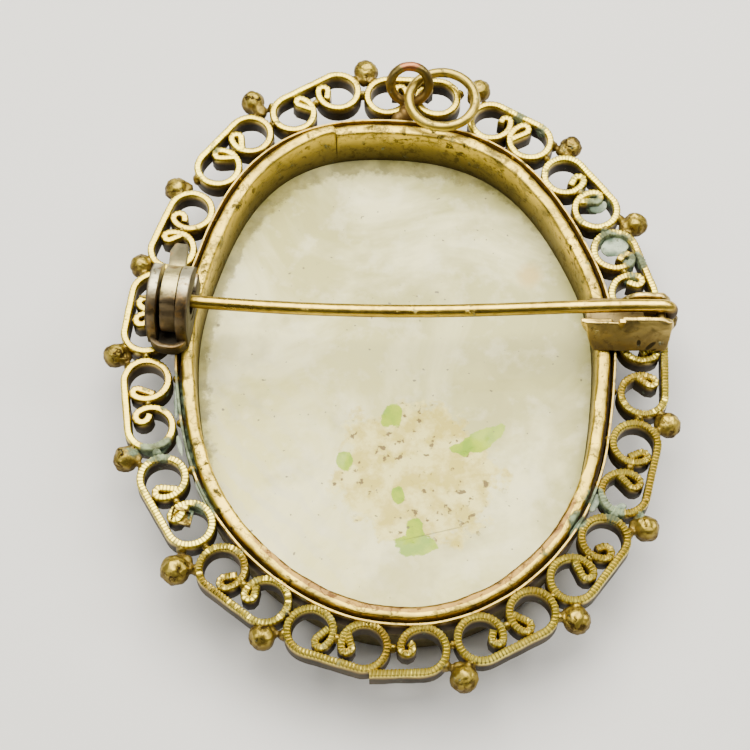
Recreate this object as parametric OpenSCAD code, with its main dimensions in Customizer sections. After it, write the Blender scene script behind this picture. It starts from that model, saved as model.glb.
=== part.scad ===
// Oval cameo brooch pendant with a pierced scroll border, lying face down.
// Millimetres, Z up, the table is Z = 0 and the pin side looks up.

/* [Bezel] */
// Outer width of the bezel, across the pin's direction
bezel_w = 32; // [30:0.5:36]
// Outer length of the bezel
bezel_l = 42; // [40:0.5:46]
// Height of the bezel, front lip to back edge
bezel_h = 6.2; // [6:0.1:7]
// Thickness of the bezel wall
bezel_t = 1.0; // [0.8:0.05:1.1]
// Height of the front lip that holds the shell
lip_h = 0.5; // [0.4:0.05:0.6]
// Reach of the front lip inward from the outside of the bezel
lip_reach = 1.7; // [1.5:0.05:2]

/* [Shell] */
// Thickness of the shell cameo's ground
shell_t = 2.05; // [1.6:0.05:2.4]
// Depth of the carved flowers on the front
relief_t = 0.4; // [0.2:0.05:0.4]

/* [Scroll border] */
// Width of the scroll ribbon
ribbon_w = 0.6; // [0.56:0.01:0.64]
// Height of the scroll ribbon
ribbon_h = 1.6; // [1.2:0.1:2]
// Radius of a coil, to the middle of the ribbon
coil_r = 1.65; // [1.5:0.01:1.7]
// Reach of the solder into tight corners
solder = 0.2; // [0.16:0.01:0.24]
// Distance of the thin ring line from the bezel
line_gap = 0.27; // [0.2:0.01:0.3]
// Thickness of the thin ring line
line_t = 0.2; // [0.16:0.01:0.25]

/* [Pin and catch] */
// Diameter of the pin wire
wire_d = 0.86; // [0.8:0.01:0.9]
// Height of the pin's middle above the bezel's back edge
pin_rise = 2.4; // [2.35:0.01:2.5]
// Position of the pin along the bezel's length
pin_y = 2.65; // [2.2:0.05:3]
// Diameter of the catch drum
drum_d = 5.3; // [5.2:0.1:5.4]
// Running clearance of the moving parts, on the radius
run_gap = 0.05; // [0.03:0.01:0.06]

/* [Pendant bail] */
// Mean radius of the fixed eye
eye_r = 1.53; // [1.5:0.01:1.56]
// Wire diameter of the fixed eye
eye_wire = 0.78; // [0.7:0.01:0.8]
// Mean radius of the jump ring
jump_r = 2.65; // [2.6:0.01:2.7]
// Wire diameter of the jump ring
jump_wire = 0.78; // [0.7:0.01:0.8]

/* [Hidden] */

// How far the oval is from a plain one: waves round it, cosine and sine part
waves = [
    [2, 0, -0.0128],
    [3, 0.0014, 0.0033],
    [4, 0.0015, 0.0086],
    [5, 0, -0.0026],
    [6, 0.0030, 0.0010],
    [7, -0.0007, 0.0065]
];
oval_power = 2.14;
oval_sides = 80;

// Scroll pairs: angle of each coil, its distance from the bezel,
// how far it turns before the inner curl, and the curl's radius
scrolls = [
    [17.0, 29.2, 2.35, 2.29, 282, 290, 0.60, 0.52],
    [41.3, 51.8, 2.59, 2.21, 276, 288, 0.55, 0.60],
    [62.4, 70.7, 2.38, 2.23, 290, 278, 0.50, 0.60],
    [82.1, 91.9, 3.12, 2.89, 285, 280, 0.55, 0.50],
    [101.3, 110.0, 3.50, 2.41, 278, 290, 0.58, 0.50],
    [119.0, 127.9, 2.51, 2.34, 288, 276, 0.52, 0.60],
    [139.8, 150.8, 2.31, 2.40, 285, 290, 0.60, 0.55],
    [163.7, 174.4, 2.65, 2.70, 280, 284, 0.55, 0.55],
    [187.9, 200.7, 2.61, 2.64, 290, 280, 0.52, 0.62],
    [213.6, 225.0, 2.59, 2.26, 284, 290, 0.60, 0.54],
    [236.3, 246.4, 2.34, 2.04, 276, 286, 0.56, 0.60],
    [256.0, 265.0, 2.23, 2.15, 288, 280, 0.52, 0.58],
    [284.1, 293.6, 2.21, 2.27, 282, 290, 0.60, 0.52],
    [303.2, 312.9, 2.36, 2.41, 290, 278, 0.54, 0.60],
    [323.5, 335.3, 2.34, 2.36, 280, 288, 0.60, 0.55],
    [349.0, 363.8, 2.56, 2.46, 286, 282, 0.55, 0.55]
];
curl_turn = 235;

// The odd single coil: angle, distance, turn before the curl, curl radius
half_coil = [274.6, 2.17, 285, 0.58];
half_tail = 3.7;

// Beads round the edge: angle, distance from the bezel, radius
beads = [
    [10.5, 4.49, 0.88],
    [34.8, 4.97, 0.90],
    [56.8, 4.64, 0.84],
    [75.4, 5.06, 0.90],
    [96.0, 5.66, 0.95],
    [114.5, 5.30, 0.92],
    [135.3, 4.40, 0.90],
    [156.1, 4.42, 0.86],
    [179.8, 4.95, 0.90],
    [206.4, 4.81, 0.92],
    [230.7, 4.89, 1.05],
    [249.6, 4.16, 0.92],
    [279.9, 4.49, 0.95],
    [298.7, 4.54, 0.95],
    [318.7, 4.72, 0.92],
    [342.1, 4.64, 0.90]
];

// Derived heights
back_z = bezel_h;
border_top = back_z - 0.1;
border_low = border_top - ribbon_h;
shell_low = lip_h + 0.03;
pin_z = back_z + pin_rise;
wire_r = wire_d / 2;
foot_z = back_z + 0.03;

// Hinge: the pin's coil turns on the rivet, between two ears
rivet_r = 0.35;
coil_in = rivet_r + 0.03;
loop_r = coil_in + wire_r;
hinge_x = 19.8;
hinge_y = pin_y - 0.1;
hinge_z = pin_z - loop_r;
ear_in = 0.85;
ear_out = 1.25;

// Catch: two cheeks and the drum between them, set a little askew.
// Lengths along the drum are from the middle of the catch.
catch_at = [-16.65, pin_y + 0.22, 0];
catch_yaw = -7;
catch_half = 1.55;
cheek_l = -0.72;
cheek_r = 0.67;
disc_l = -0.5;
disc_r = cheek_r - 0.05;
disc_radius = pin_rise - 0.1;
hub_r = 1.35;
bore_r = 0.9;
slot_low = -0.75;
slot_high = 0.45;
tab_rise = 18;

// The bail eye and the ring that hangs in it
eye_tilt = 60;
jump_tilt = 0;
eye_at = [1.149, 23.619, border_top + 1.4];
jump_at = [3.737, 22.353, border_top + 1.1];

function product(v, i = 0) = i == len(v) ? 1 : v[i] * product(v, i + 1);
function rim_r(a) =
    pow(pow(abs(cos(a)) * 2 / bezel_w, oval_power)
        + pow(abs(sin(a)) * 2 / bezel_l, oval_power), -1 / oval_power)
    * product([for (w = waves) 1 + w[1] * cos(w[0] * a) + w[2] * sin(w[0] * a)]);
function rim_pt(a) = rim_r(a) * [cos(a), sin(a)];
function rim_out(a) =
    let (d = rim_pt(a + 0.5) - rim_pt(a - 0.5)) [d.y, -d.x] / norm(d);
function rim_off(a, d) = rim_pt(a) + d * rim_out(a);

// Middle of the outline, so that the part stands centred on the origin
bead_x = [for (b = beads) rim_off(b[0], b[1]).x];
bead_y = [for (b = beads) rim_off(b[0], b[1]).y];
x_max = max([for (i = [0:len(beads) - 1]) bead_x[i] + beads[i][2]]);
x_min = min([for (i = [0:len(beads) - 1]) bead_x[i] - beads[i][2]]);
y_max = max([for (i = [0:len(beads) - 1]) bead_y[i] + beads[i][2]]);
y_min = min([for (i = [0:len(beads) - 1]) bead_y[i] - beads[i][2]]);
shift = [-(x_max + x_min) / 2, -(y_max + y_min) / 2, 0];

// A ribbon of even width along a row of points
function beside(p, d) = [
    for (i = [0:len(p) - 1])
        let (t = p[min(i + 1, len(p) - 1)] - p[max(i - 1, 0)])
            p[i] + d * [-t.y, t.x] / norm(t)
];
module ribbon(p, w = ribbon_w) {
    left = beside(p, w / 2);
    right = beside(p, -w / 2);
    n = len(p);
    polygon([for (i = [0:2 * n - 1]) i < n ? left[i] : right[2 * n - 1 - i]]);
}

// Points on a turn: centre c, radius r, along unit vectors u and v
function turn(c, r, u, v, a0, a1, n) = [
    for (i = [0:n])
        let (a = a0 + (a1 - a0) * i / n) c + r * (cos(a) * u + sin(a) * v)
];

// One coil: the big turn, then the small curl that touches the bar
module coil(c, u, v, sweep, curl) {
    a1 = 90 - sweep;
    k = c + (coil_r - curl) * (cos(a1) * u + sin(a1) * v);
    ribbon(turn(c, coil_r, u, v, 92, a1 - 2, 16));
    ribbon(turn(k, curl, u, v, a1 + 4, a1 - curl_turn, 7));
}

module scroll_pair(s) {
    a = rim_off(s[0], s[2]);
    b = rim_off(s[1], s[3]);
    u = (b - a) / norm(b - a);
    v = [u.y, -u.x];
    coil(a, -u, v, s[4], s[6]);
    coil(b, u, v, s[5], s[7]);
    ribbon([a + coil_r * v - 0.05 * u, b + coil_r * v + 0.05 * u]);
}

module single_coil(s) {
    c = rim_off(s[0], s[1]);
    v = rim_out(s[0]);
    u = [-v.y, v.x];
    coil(c, u, v, s[2], s[3]);
    ribbon([c + coil_r * v - half_tail * u, c + coil_r * v + 0.05 * u]);
}

module oval(d, sides = oval_sides) {
    polygon([for (i = [0:sides - 1]) rim_off(360 * i / sides, d)]);
}

module oval_band(out, in) {
    difference() {
        oval(out);
        oval(in);
    }
}

// The pierced border seen from the back, with solder in the tight corners
module border_plan() {
    offset(delta = -solder, chamfer = true)
        offset(delta = solder)
            union() {
                oval_band(line_gap + line_t, line_gap);
                for (s = scrolls) scroll_pair(s);
                single_coil(half_coil);
                for (b = beads)
                    ribbon([rim_off(b[0], b[1] - 2.5), rim_off(b[0], b[1])], 0.6);
            }
}

// A wire ring lying in its own plane, tilted about X
module wire_ring(at, r, wire, tilt) {
    translate(at)
        rotate([tilt, 0, 0])
            rotate_extrude($fn = 64)
                translate([r, 0])
                    circle(d = wire, $fn = 24);
}

module gilt_frame() {
    color("#c8a14a") translate(shift) union() {
        // wall with the front lip, rounded back edge and the ring line's seat
        union() {
            linear_extrude(back_z - 0.3) oval_band(0, -bezel_t);
            linear_extrude(lip_h) oval_band(-0.3, -lip_reach);
            translate([0, 0, back_z - 1])
                linear_extrude(0.9) oval_band(-0.08, -bezel_t + 0.08);
            translate([0, 0, back_z - 1.2])
                linear_extrude(1.2) oval_band(-0.22, -bezel_t + 0.22);
            translate([0, 0, border_low - 0.1])
                linear_extrude(0.4) oval_band(line_gap + line_t / 2, -bezel_t / 2);
        }
        // scroll border with its beads
        union() {
            translate([0, 0, border_low])
                linear_extrude(ribbon_h) border_plan();
            for (b = beads)
                translate([each rim_off(b[0], b[1]), back_z - 0.9])
                    sphere(b[2], $fn = 32);
        }
        // bail eye on its solder foot
        wire_ring(eye_at, eye_r, eye_wire, eye_tilt);
        translate([0.9, 22.1, border_low])
            cylinder(h = back_z + 0.3 - border_low, r1 = 1.0, r2 = 0.62, $fn = 32);
    }
}

// A petal or leaf: pointed at the root, width w, length l
module leaf(l, w) {
    polygon([
        for (i = [0:15])
            let (a = 360 * i / 16)
                [l * (1 - cos(a)) / 2, w / 2 * sin(a) * (0.75 - 0.3 * cos(a))]
    ]);
}

module petal(r, w) {
    polygon([
        for (i = [0:13])
            let (a = 360 * i / 14)
                [r * (0.6 + 0.42 * cos(a)), w * sin(a) * (1 + 0.2 * cos(a))]
    ]);
}

module flower(at, r, petals, turn_by) {
    translate(at) {
        circle(r * 0.37, $fn = 24);
        for (i = [0:petals - 1])
            rotate(turn_by + 360 * i / petals)
                petal(r, r * 2 / petals);
    }
}

// Carved spray: place, radius, petals, turn
flowers = [
    [[0, 2.5], 6.2, 6, 15],
    [[-4.6, -7.8], 3.6, 5, 40],
    [[5.2, -6.6], 3.4, 5, 5]
];
// Leaves: place, direction, length, width
leaves = [
    [[3.6, 6.8], 58, 6.6, 2.8],
    [[-3.8, 6.6], 125, 6.4, 2.8],
    [[-5.6, 1.4], 172, 5.0, 2.4],
    [[5.8, 1.8], 8, 5.0, 2.4],
    [[0.4, -9.0], 268, 7.0, 2.8],
    [[4.0, -10.0], 305, 5.6, 2.4],
    [[-4.4, -11.2], 240, 4.6, 2.2],
    [[0, 9.2], 92, 6.6, 2.6]
];

module cameo_plaque() {
    color("#e9e2d2") translate(shift) union() {
        translate([0, 0, shell_low])
            linear_extrude(shell_t) oval(-bezel_t - 0.05);
        translate([0, 0, shell_low - relief_t * 0.5])
            linear_extrude(relief_t * 0.5 + 0.2)
                for (p = leaves)
                    translate(p[0]) rotate(p[1]) leaf(p[2], p[3]);
        translate([0, 0, shell_low - relief_t * 0.75])
            linear_extrude(relief_t * 0.75 + 0.3)
                for (f = flowers) flower(f[0], f[1], f[2], f[3]);
        translate([0, 0, shell_low - relief_t])
            linear_extrude(relief_t + 0.4)
                for (f = flowers) flower(f[0], f[1] * 0.55, f[2] - 1, f[3] + 30);
    }
}

// Lays a profile drawn in Y and Z across from x0 to x1
module across(x0, x1) {
    translate([x0, 0, 0])
        rotate([90, 0, 90])
            linear_extrude(x1 - x0) children();
}

// Foot plate with round ends, x and y limits, corner radius
module foot_plan(x0, x1, y0, y1, r) {
    for (x = [x0 + r, x1 - r], y = [y0 + r, y1 - r])
        translate([x, y]) circle(r, $fn = 32);
    translate([x0 + r, y0]) square([x1 - x0 - 2 * r, y1 - y0]);
    translate([x0, y0 + r]) square([x1 - x0, y1 - y0 - 2 * r]);
}

// Puts the catch's parts in place, drawn round a drum along X
module at_catch() {
    translate(catch_at) rotate([0, 0, catch_yaw]) children();
}

module cheek_plan() {
    difference() {
        union() {
            translate([0, pin_z]) circle(d = drum_d, $fn = 64);
            translate([-drum_d / 2, foot_z + 0.1])
                square([drum_d, pin_rise - 0.6]);
        }
        translate([0, pin_z]) circle(hub_r + run_gap, $fn = 64);
        translate([slot_low, pin_z]) square([slot_high - slot_low, drum_d]);
        translate([-drum_d, 0]) square([2 * drum_d, foot_z + 0.1]);
    }
}

module catch_foot() {
    foot_plan(-catch_half, catch_half, -3.32, 2.65, 1.4);
}

module catch_housing() {
    color("#8f8a7c") translate(shift) at_catch() union() {
        across(-catch_half, cheek_l) cheek_plan();
        across(cheek_r, catch_half) cheek_plan();
        translate([0, 0, foot_z])
            linear_extrude(0.4)
                difference() {
                    catch_foot();
                    translate([cheek_l, -1.9]) square([cheek_r - cheek_l, 3.8]);
                }
        // upstanding rim of the cup at the lower end
        translate([0, 0, foot_z])
            linear_extrude(1.1)
                difference() {
                    catch_foot();
                    foot_plan(-catch_half + 0.35, catch_half - 0.35, -2.97, 2.6, 1.1);
                    translate([-3, -2.27]) square([6, 6]);
                }
    }
}

module catch_rotor() {
    color("#9b9484") translate(shift) at_catch() difference() {
        union() {
            across(disc_l, disc_r)
                translate([0, pin_z]) circle(disc_radius, $fn = 64);
            across(-catch_half + 0.05, catch_half - 0.05)
                translate([0, pin_z]) circle(hub_r, $fn = 64);
            // thumb tab
            translate([disc_l, 0, pin_z])
                rotate([tab_rise, 0, 0])
                    translate([0, 1.6, -0.55])
                        cube([disc_r - disc_l, 2.65, 1.1]);
        }
        across(-catch_half - 1, catch_half + 1)
            translate([0, pin_z]) circle(bore_r, $fn = 64);
        translate([-3, slot_low, pin_z])
            cube([6, slot_high - slot_low, drum_d]);
    }
}

// The near ear seen from the front: wing, notch and round end
module near_ear_plan() {
    difference() {
        union() {
            polygon([
                [14.05, 2.2], [16.5, 2.15], [16.9, 2.45], [19.35, 2.45],
                [20.65, 1.15], [20.65, 0.1], [14.7, 0.1], [14.25, 0.8]
            ]);
            translate([19.35, 1.15]) circle(1.3, $fn = 48);
        }
        polygon([[16.2, 3], [16.45, 0.9], [16.75, 0.8], [17.0, 3]]);
    }
}

// The far ear is a plain lobe
module far_ear_plan() {
    difference() {
        union() {
            translate([18.6, 0.42]) circle(2.04, $fn = 64);
            translate([19.65, 1.3]) circle(1.0, $fn = 48);
            translate([16.56, 0.1]) square([4.09, 1.2]);
        }
        translate([16, -2]) square([6, 2.1]);
    }
}

// Stands an ear up with its near face at y0
module ear(y0) {
    translate([0, y0 + ear_out - ear_in, back_z])
        rotate([90, 0, 0])
            linear_extrude(ear_out - ear_in)
                difference() {
                    children();
                    translate([hinge_x, hinge_z - back_z])
                        circle(rivet_r + 0.02, $fn = 32);
                }
}

module hinge_bracket() {
    color("#a8853c") translate(shift) union() {
        translate([0, 0, foot_z])
            linear_extrude(0.28)
                foot_plan(14.35, 20.7, hinge_y - 2.15, hinge_y + 2.0, 0.7);
        ear(hinge_y - ear_out) near_ear_plan();
        ear(hinge_y + ear_in) far_ear_plan();
    }
}

module hinge_rivet() {
    color("#b3925a")
        translate(shift + [hinge_x, hinge_y, hinge_z])
            rotate([90, 0, 0]) {
                cylinder(h = 2 * ear_out + 0.1, r = rivet_r, center = true, $fn = 48);
                for (s = [-1, 1])
                    translate([0, 0, s * (ear_out + 0.09)])
                        cylinder(h = 0.14, r = 0.55, center = true, $fn = 48);
            }
}

// Lays a round bar or cone along X
module rod(x0, x1, r0, r1) {
    translate([x0, pin_y, pin_z])
        rotate([0, 90, 0])
            cylinder(h = x1 - x0, r1 = r0, r2 = r1, $fn = 48);
}

module pin_stem() {
    color("#d8c48a") translate(shift) union() {
        rod(-18.3, -17.2, 0.08, wire_r * 0.88);
        rod(-17.2, -15.0, wire_r * 0.88, wire_r);
        rod(-15.0, 13.9, wire_r, wire_r);
        rod(13.9, hinge_x, wire_r, wire_r * 0.99);
        translate([hinge_x, pin_y, hinge_z])
            rotate([90, 0, 0])
                rotate_extrude($fn = 64)
                    translate([loop_r, 0]) circle(wire_r, $fn = 32);
    }
}

module jump_ring() {
    color("#c2a052") translate(shift)
        wire_ring(jump_at, jump_r, jump_wire, jump_tilt);
}

gilt_frame();
cameo_plaque();
catch_housing();
catch_rotor();
hinge_bracket();
hinge_rivet();
pin_stem();
jump_ring();
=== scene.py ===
import random
from math import atan2, cos, degrees, exp, pi, radians, sin, sqrt

import bmesh
import bpy
from mathutils import Matrix, Vector, noise


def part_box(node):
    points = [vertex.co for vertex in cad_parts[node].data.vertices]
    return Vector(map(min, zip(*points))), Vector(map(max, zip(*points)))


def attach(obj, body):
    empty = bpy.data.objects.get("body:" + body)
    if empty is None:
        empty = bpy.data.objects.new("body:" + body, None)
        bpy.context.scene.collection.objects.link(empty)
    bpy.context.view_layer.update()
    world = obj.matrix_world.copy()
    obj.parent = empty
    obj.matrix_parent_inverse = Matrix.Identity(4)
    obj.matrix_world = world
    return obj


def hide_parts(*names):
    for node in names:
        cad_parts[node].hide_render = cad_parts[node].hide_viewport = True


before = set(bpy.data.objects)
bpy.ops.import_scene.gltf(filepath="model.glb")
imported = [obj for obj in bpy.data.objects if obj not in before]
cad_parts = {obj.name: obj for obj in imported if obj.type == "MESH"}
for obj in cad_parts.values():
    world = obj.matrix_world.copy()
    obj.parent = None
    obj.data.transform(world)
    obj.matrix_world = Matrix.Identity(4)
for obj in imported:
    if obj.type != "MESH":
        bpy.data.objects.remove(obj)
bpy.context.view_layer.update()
mm = 0.001
random.seed(7)

# The oval that everything is laid out from, in mm from its middle
ovalShape = {
    "halfWidth": 16.0,
    "halfLength": 21.0,
    "power": 2.14,
    "waves": (
        (2, 0.0, -0.0128), (3, 0.0014, 0.0033), (4, 0.0015, 0.0086),
        (5, 0.0, -0.0026), (6, 0.0030, 0.0010), (7, -0.0007, 0.0065),
    ),
}
backEdge = 6.2  # height of the bezel's back edge above the table
borderTop = backEdge - 0.1
hinge = {"x": 19.8, "y": 2.55, "rise": 2.4}  # the rivet from the oval's middle, the pin above the back edge
rivetAt = sum(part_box("hinge_rivet"), Vector()) / 2  # the CAD rivet gives the oval's middle in the row
middle = Vector((rivetAt.x / mm - hinge["x"], rivetAt.y / mm - hinge["y"], 0.0))


def toRow(point):  # mm from the oval's middle to the row's metres
    return (Vector(point).to_3d() + middle) * mm


def ovalPoint(angle):
    a = radians(angle)
    p = ovalShape["power"]
    across = abs(cos(a) / ovalShape["halfWidth"]) ** p
    along = abs(sin(a) / ovalShape["halfLength"]) ** p
    r = (across + along) ** (-1 / p)
    for k, c, s in ovalShape["waves"]:
        r *= 1 + c * cos(k * a) + s * sin(k * a)
    return Vector((r * cos(a), r * sin(a)))


def ovalOut(angle):
    d = ovalPoint(angle + 0.5) - ovalPoint(angle - 0.5)
    return Vector((d.y, -d.x)).normalized()


def offOval(angle, distance):
    return ovalPoint(angle) + ovalOut(angle) * distance


# Camera at the photograph's angle, worked out from the oval, the pin and the bail
cameraPlace = {
    "at": (-1.70, -68.26, 124.73 + backEdge),
    "right": (1.0, 0.0040, 0.0035),
    "up": (-0.0052, 0.8833, 0.4688),
    "back": (-0.0012, -0.4688, 0.8833),
    "focal": 1900 / 750,  # focal length in picture widths
    "film": 36,
    "clip": (0.005, 5),
}
bpy.ops.object.camera_add()
camera = bpy.context.object
camera.data.sensor_width = cameraPlace["film"]
camera.data.lens = cameraPlace["film"] * cameraPlace["focal"]
camera.data.clip_start, camera.data.clip_end = cameraPlace["clip"]
turn = Matrix([cameraPlace[k] for k in ("right", "up", "back")]).transposed()
camera.matrix_world = Matrix.Translation(toRow(cameraPlace["at"])) @ turn.to_4x4()
bpy.context.scene.camera = camera


# Shader maths: a wrapped socket with the usual operators
class Wire:
    def __init__(self, maker, socket):
        self.maker = maker
        self.socket = socket

    def math(self, operation, *values):
        return self.maker.node("ShaderNodeMath", {"operation": operation}, list(values))[0]

    def __add__(self, other):
        return self.math("ADD", self, other)

    __radd__ = __add__

    def __mul__(self, other):
        return self.math("MULTIPLY", self, other)

    __rmul__ = __mul__

    def __sub__(self, other):
        return self.math("SUBTRACT", self, other)

    def __rsub__(self, other):
        return self.math("SUBTRACT", other, self)

    def clamp(self):
        return self.maker.node("ShaderNodeClamp", {}, {"Value": self, "Min": 0.0, "Max": 1.0})[0]


class Finish:
    def __init__(self, name):
        self.material = bpy.data.materials.new(name)
        self.material.use_nodes = True
        self.tree = self.material.node_tree
        self.surface = self.tree.nodes["Principled BSDF"]
        self.spot = self.node("ShaderNodeTexCoord", {}, {})[3]
        self.x, self.y, self.z = self.node("ShaderNodeSeparateXYZ", {}, {0: self.spot})

    def node(self, kind, settings, values):
        n = self.tree.nodes.new(kind)
        for key, value in settings.items():
            setattr(n, key, value)
        pairs = values.items() if isinstance(values, dict) else enumerate(values)
        for key, value in pairs:
            if isinstance(value, Wire):
                self.tree.links.new(value.socket, n.inputs[key])
            else:
                n.inputs[key].default_value = value
        return [Wire(self, s) for s in n.outputs]

    def vector(self, operation, *values):
        return self.node("ShaderNodeVectorMath", {"operation": operation}, list(values))

    def attribute(self, name):
        return self.node("ShaderNodeAttribute", {"attribute_name": name}, {})[2]

    def noise(self, scale, detail=4.0, rough=0.55, warp=0.0):
        return self.node("ShaderNodeTexNoise", {}, {
            "Vector": self.spot, "Scale": scale, "Detail": detail,
            "Roughness": rough, "Distortion": warp,
        })[0]

    def ramp(self, value, low, high):
        return self.node("ShaderNodeMapRange", {"clamp": True}, {
            "Value": value, "From Min": low, "From Max": high,
        })[0]

    def mix(self, mask, first, second):
        first, second = (c if isinstance(c, Wire) else (*c, 1.0) for c in (first, second))
        return self.node("ShaderNodeMix", {"data_type": "RGBA"}, {0: mask, 6: first, 7: second})[2]

    def tones(self, value, low, high, first, second):
        return self.mix(self.ramp(value, low, high), first, second)

    def paint(self, mask, colour):
        # one more colour over what is there
        self.colour = self.mix(mask, self.colour, colour)

    def near(self, place, reach, soft=0.5, stretch=(1, 1, 1), spin=0.0):
        # 1 inside a blob of the given reach in mm round a place in mm, fading outwards
        shifted = self.vector("SUBTRACT", self.spot, toRow(place))[0]
        turned = self.node("ShaderNodeVectorRotate", {"rotation_type": "Z_AXIS"}, {
            "Vector": shifted, "Angle": radians(spin),
        })[0]
        sized = self.vector("DIVIDE", turned, [s * reach * mm for s in stretch])[0]
        return self.ramp(self.vector("LENGTH", sized)[1], 1.0, 1.0 - soft)

    def either(self, masks):
        out = masks[0]
        for m in masks[1:]:
            out = out.math("MAXIMUM", out, m)
        return out

    def finished(self, rough, heights):
        # links the colour, the roughness and the bumps: height, strength, distance in mm
        self.link("Base Color", self.colour)
        self.link("Roughness", rough.clamp())
        normal = None
        for height, strength, distance in heights:
            values = {"Strength": strength, "Distance": distance * mm, "Height": height}
            if normal is not None:
                values["Normal"] = normal
            normal = self.node("ShaderNodeBump", {}, values)[0]
        self.link("Normal", normal)
        return self.material

    def link(self, socket, value):
        if isinstance(value, Wire):
            self.tree.links.new(value.socket, self.surface.inputs[socket])
        else:
            self.surface.inputs[socket].default_value = value


# Where the blue-green corrosion sits: place and reach in mm
verdigrisSpots = (
    (10.1, 21.7, 5.6, 0.9), (11.8, 20.5, 5.6, 0.8), (15.9, 13.3, 5.5, 1.3), (17.0, 9.7, 5.6, 1.7),
    (18.4, 8.1, 5.8, 1.1), (18.1, 6.7, 5.5, 0.9), (-17.4, -8.1, 5.8, 1.5), (-19.6, -8.5, 5.3, 1.1),
    (-16.3, -4.3, 5.6, 1.3), (-14.3, -13.0, 5.6, 0.9), (15.6, -12.9, 5.8, 1.2), (14.5, -11.9, 5.6, 1.2),
    (13.0, -13.8, 5.6, 1.1), (17.6, -13.0, 5.4, 0.7), (16.2, 10.5, 5.7, 0.8),
)


# Every gilt finish gives its hue and its hollow, the heights where the painted shade is full and where it ends
plainGilt = {
    "dark": (0.030, 0.018, 0.006), "brown": (0.30, 0.165, 0.035), "tarnish": 0.6, "darkening": 0.9, "rough": 0.30,
    "pits": 0.8, "pitFrom": 0.57, "veins": 0.0, "veinScale": 420, "veinWide": 0.022, "bumpy": 0.4,
    "green": verdigrisSpots, "copperHue": (0.50, 0.17, 0.10),
}
noGreen = ((0, 0, 0, 0.1),)  # one spot that no surface reaches


def giltFinish(name, look):
    # worn gilding: bright on the edges, with painted shade brown and dark in the hollows and lower down, pitted, with
    # green crusts in places
    f = Finish(name)
    look = {**plainGilt, **look}
    cloud = f.noise(230, 5.0)
    fine = f.noise(1500, 5.0, 0.6)
    streak = f.noise(640, 3.0, 0.6, warp=0.6)
    hue, dark, brown = look["hue"], look["dark"], look["brown"]
    f.colour = f.tones(cloud, 0.36, 0.66, [c * 0.66 for c in hue], [min(1.0, c * 1.14) for c in hue])
    f.paint(f.ramp(streak, 0.5, 0.7) * look["tarnish"], brown)
    pits = f.ramp(fine, look["pitFrom"], look["pitFrom"] + 0.09) * f.ramp(cloud, 0.38, 0.56) * look["pits"]
    vein = f.noise(look["veinScale"], 3.0, 0.5) - 0.5
    vein = vein.math("ABSOLUTE", vein)
    cracks = f.ramp(vein, look["veinWide"], look["veinWide"] * 0.3) * f.ramp(streak, 0.42, 0.56) * look["veins"]
    pits = f.either([pits, cracks])
    f.paint(pits, dark)
    # painted shade: brown just below the tops, then dark lower down the walls and on the undersides
    low, high = look["hollow"]
    height = f.z + (streak - 0.5) * (0.5 * mm)
    rise = (high - low) * 0.5
    upperShade = f.ramp(height, high * mm, (high - rise) * mm) * look["darkening"]
    deep = f.ramp(height, (high - 0.45 * rise) * mm, low * mm) * look["darkening"]
    # painted shade in the milled notches too
    if "groove" in look:
        cut = f.ramp(f.attribute("groove"), 0.3, 0.95)
        deep = f.either([deep, (cut * (0.45 + 0.8 * cloud) * look["groove"]).clamp()])
    f.paint((upperShade * 0.85).clamp(), brown)
    shade = (deep * (0.75 + 0.45 * cloud)).clamp()
    f.paint(shade, dark)
    if "marks" in look:
        marks = f.either([f.near(at, reach, 0.3, stretch, spin) for at, reach, stretch, spin in look["marks"]])
        f.paint(marks * 0.9, [c * 0.4 for c in dark])
        pits = f.either([pits, marks])
    if "copper" in look:
        place, reach, stretch, amount = look["copper"]
        bare = f.near(place, reach, 0.5, stretch) * amount
        if "copperBand" in look:
            start, full, fade, end = look["copperBand"]
            row = f.attribute("row")
            bare = bare * f.ramp(row, start, full) * f.ramp(row, end, fade)
        worn = f.ramp(bare + f.noise(620, 5.0) - 0.55, 0.42, 0.52)
        f.paint(worn * 0.75, look["copperHue"])
    green = f.either([f.near(s[:3], s[3], 0.8) for s in look["green"]])
    crust = f.ramp(green * 0.6 + f.noise(1100, 5.0, 0.62) - 0.12, 0.5, 0.62)
    f.paint(crust * 0.9, f.tones(f.noise(1900), 0.42, 0.62, (0.05, 0.085, 0.055), (0.24, 0.33, 0.21)))
    f.link("Metallic", (1.0 - crust * 0.95 - shade * 0.6).clamp())
    return f.finished(look["rough"] + 0.2 * cloud + shade * 0.3 + crust * 0.5 + pits * 0.2, [
        (fine, look["bumpy"], 0.06), (pits, 0.5 * look["bumpy"], -0.06), (f.noise(5200, 2.0), 0.25, 0.02),
        (crust * f.noise(2600), 0.8, 0.12),
    ])


# Modelling helpers
def deselect():
    bpy.ops.object.select_all(action="DESELECT")


def only(o):
    deselect()
    o.select_set(True)
    bpy.context.view_layer.objects.active = o


def pick(o, kind, test):
    # in edit mode, selects the verts, edges or faces that pass the test
    bpy.ops.mesh.select_mode(type=kind[:-1].upper())
    bpy.ops.mesh.select_all(action="DESELECT")
    bm = bmesh.from_edit_mesh(o.data)
    for item in getattr(bm, kind):
        item.select_set(test(item))
    bm.select_flush_mode()
    bmesh.update_edit_mesh(o.data)


def editAll(o):
    only(o)
    bpy.ops.object.mode_set(mode="EDIT")
    bpy.ops.mesh.select_mode(type="VERT")
    bpy.ops.mesh.select_all(action="SELECT")


def leaveEdit():
    bpy.ops.object.mode_set(mode="OBJECT")


def moved(o, test, by):
    # moves the verts that pass the test, by mm
    pick(o, "verts", test)
    bpy.ops.transform.translate(value=[v * mm for v in by])


def squeezed(o, test, size, about):
    pick(o, "verts", test)
    bpy.ops.transform.resize(value=size, center_override=about)


def extruded(move):
    bpy.ops.mesh.extrude_region_move(TRANSFORM_OT_translate={"value": move})


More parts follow.
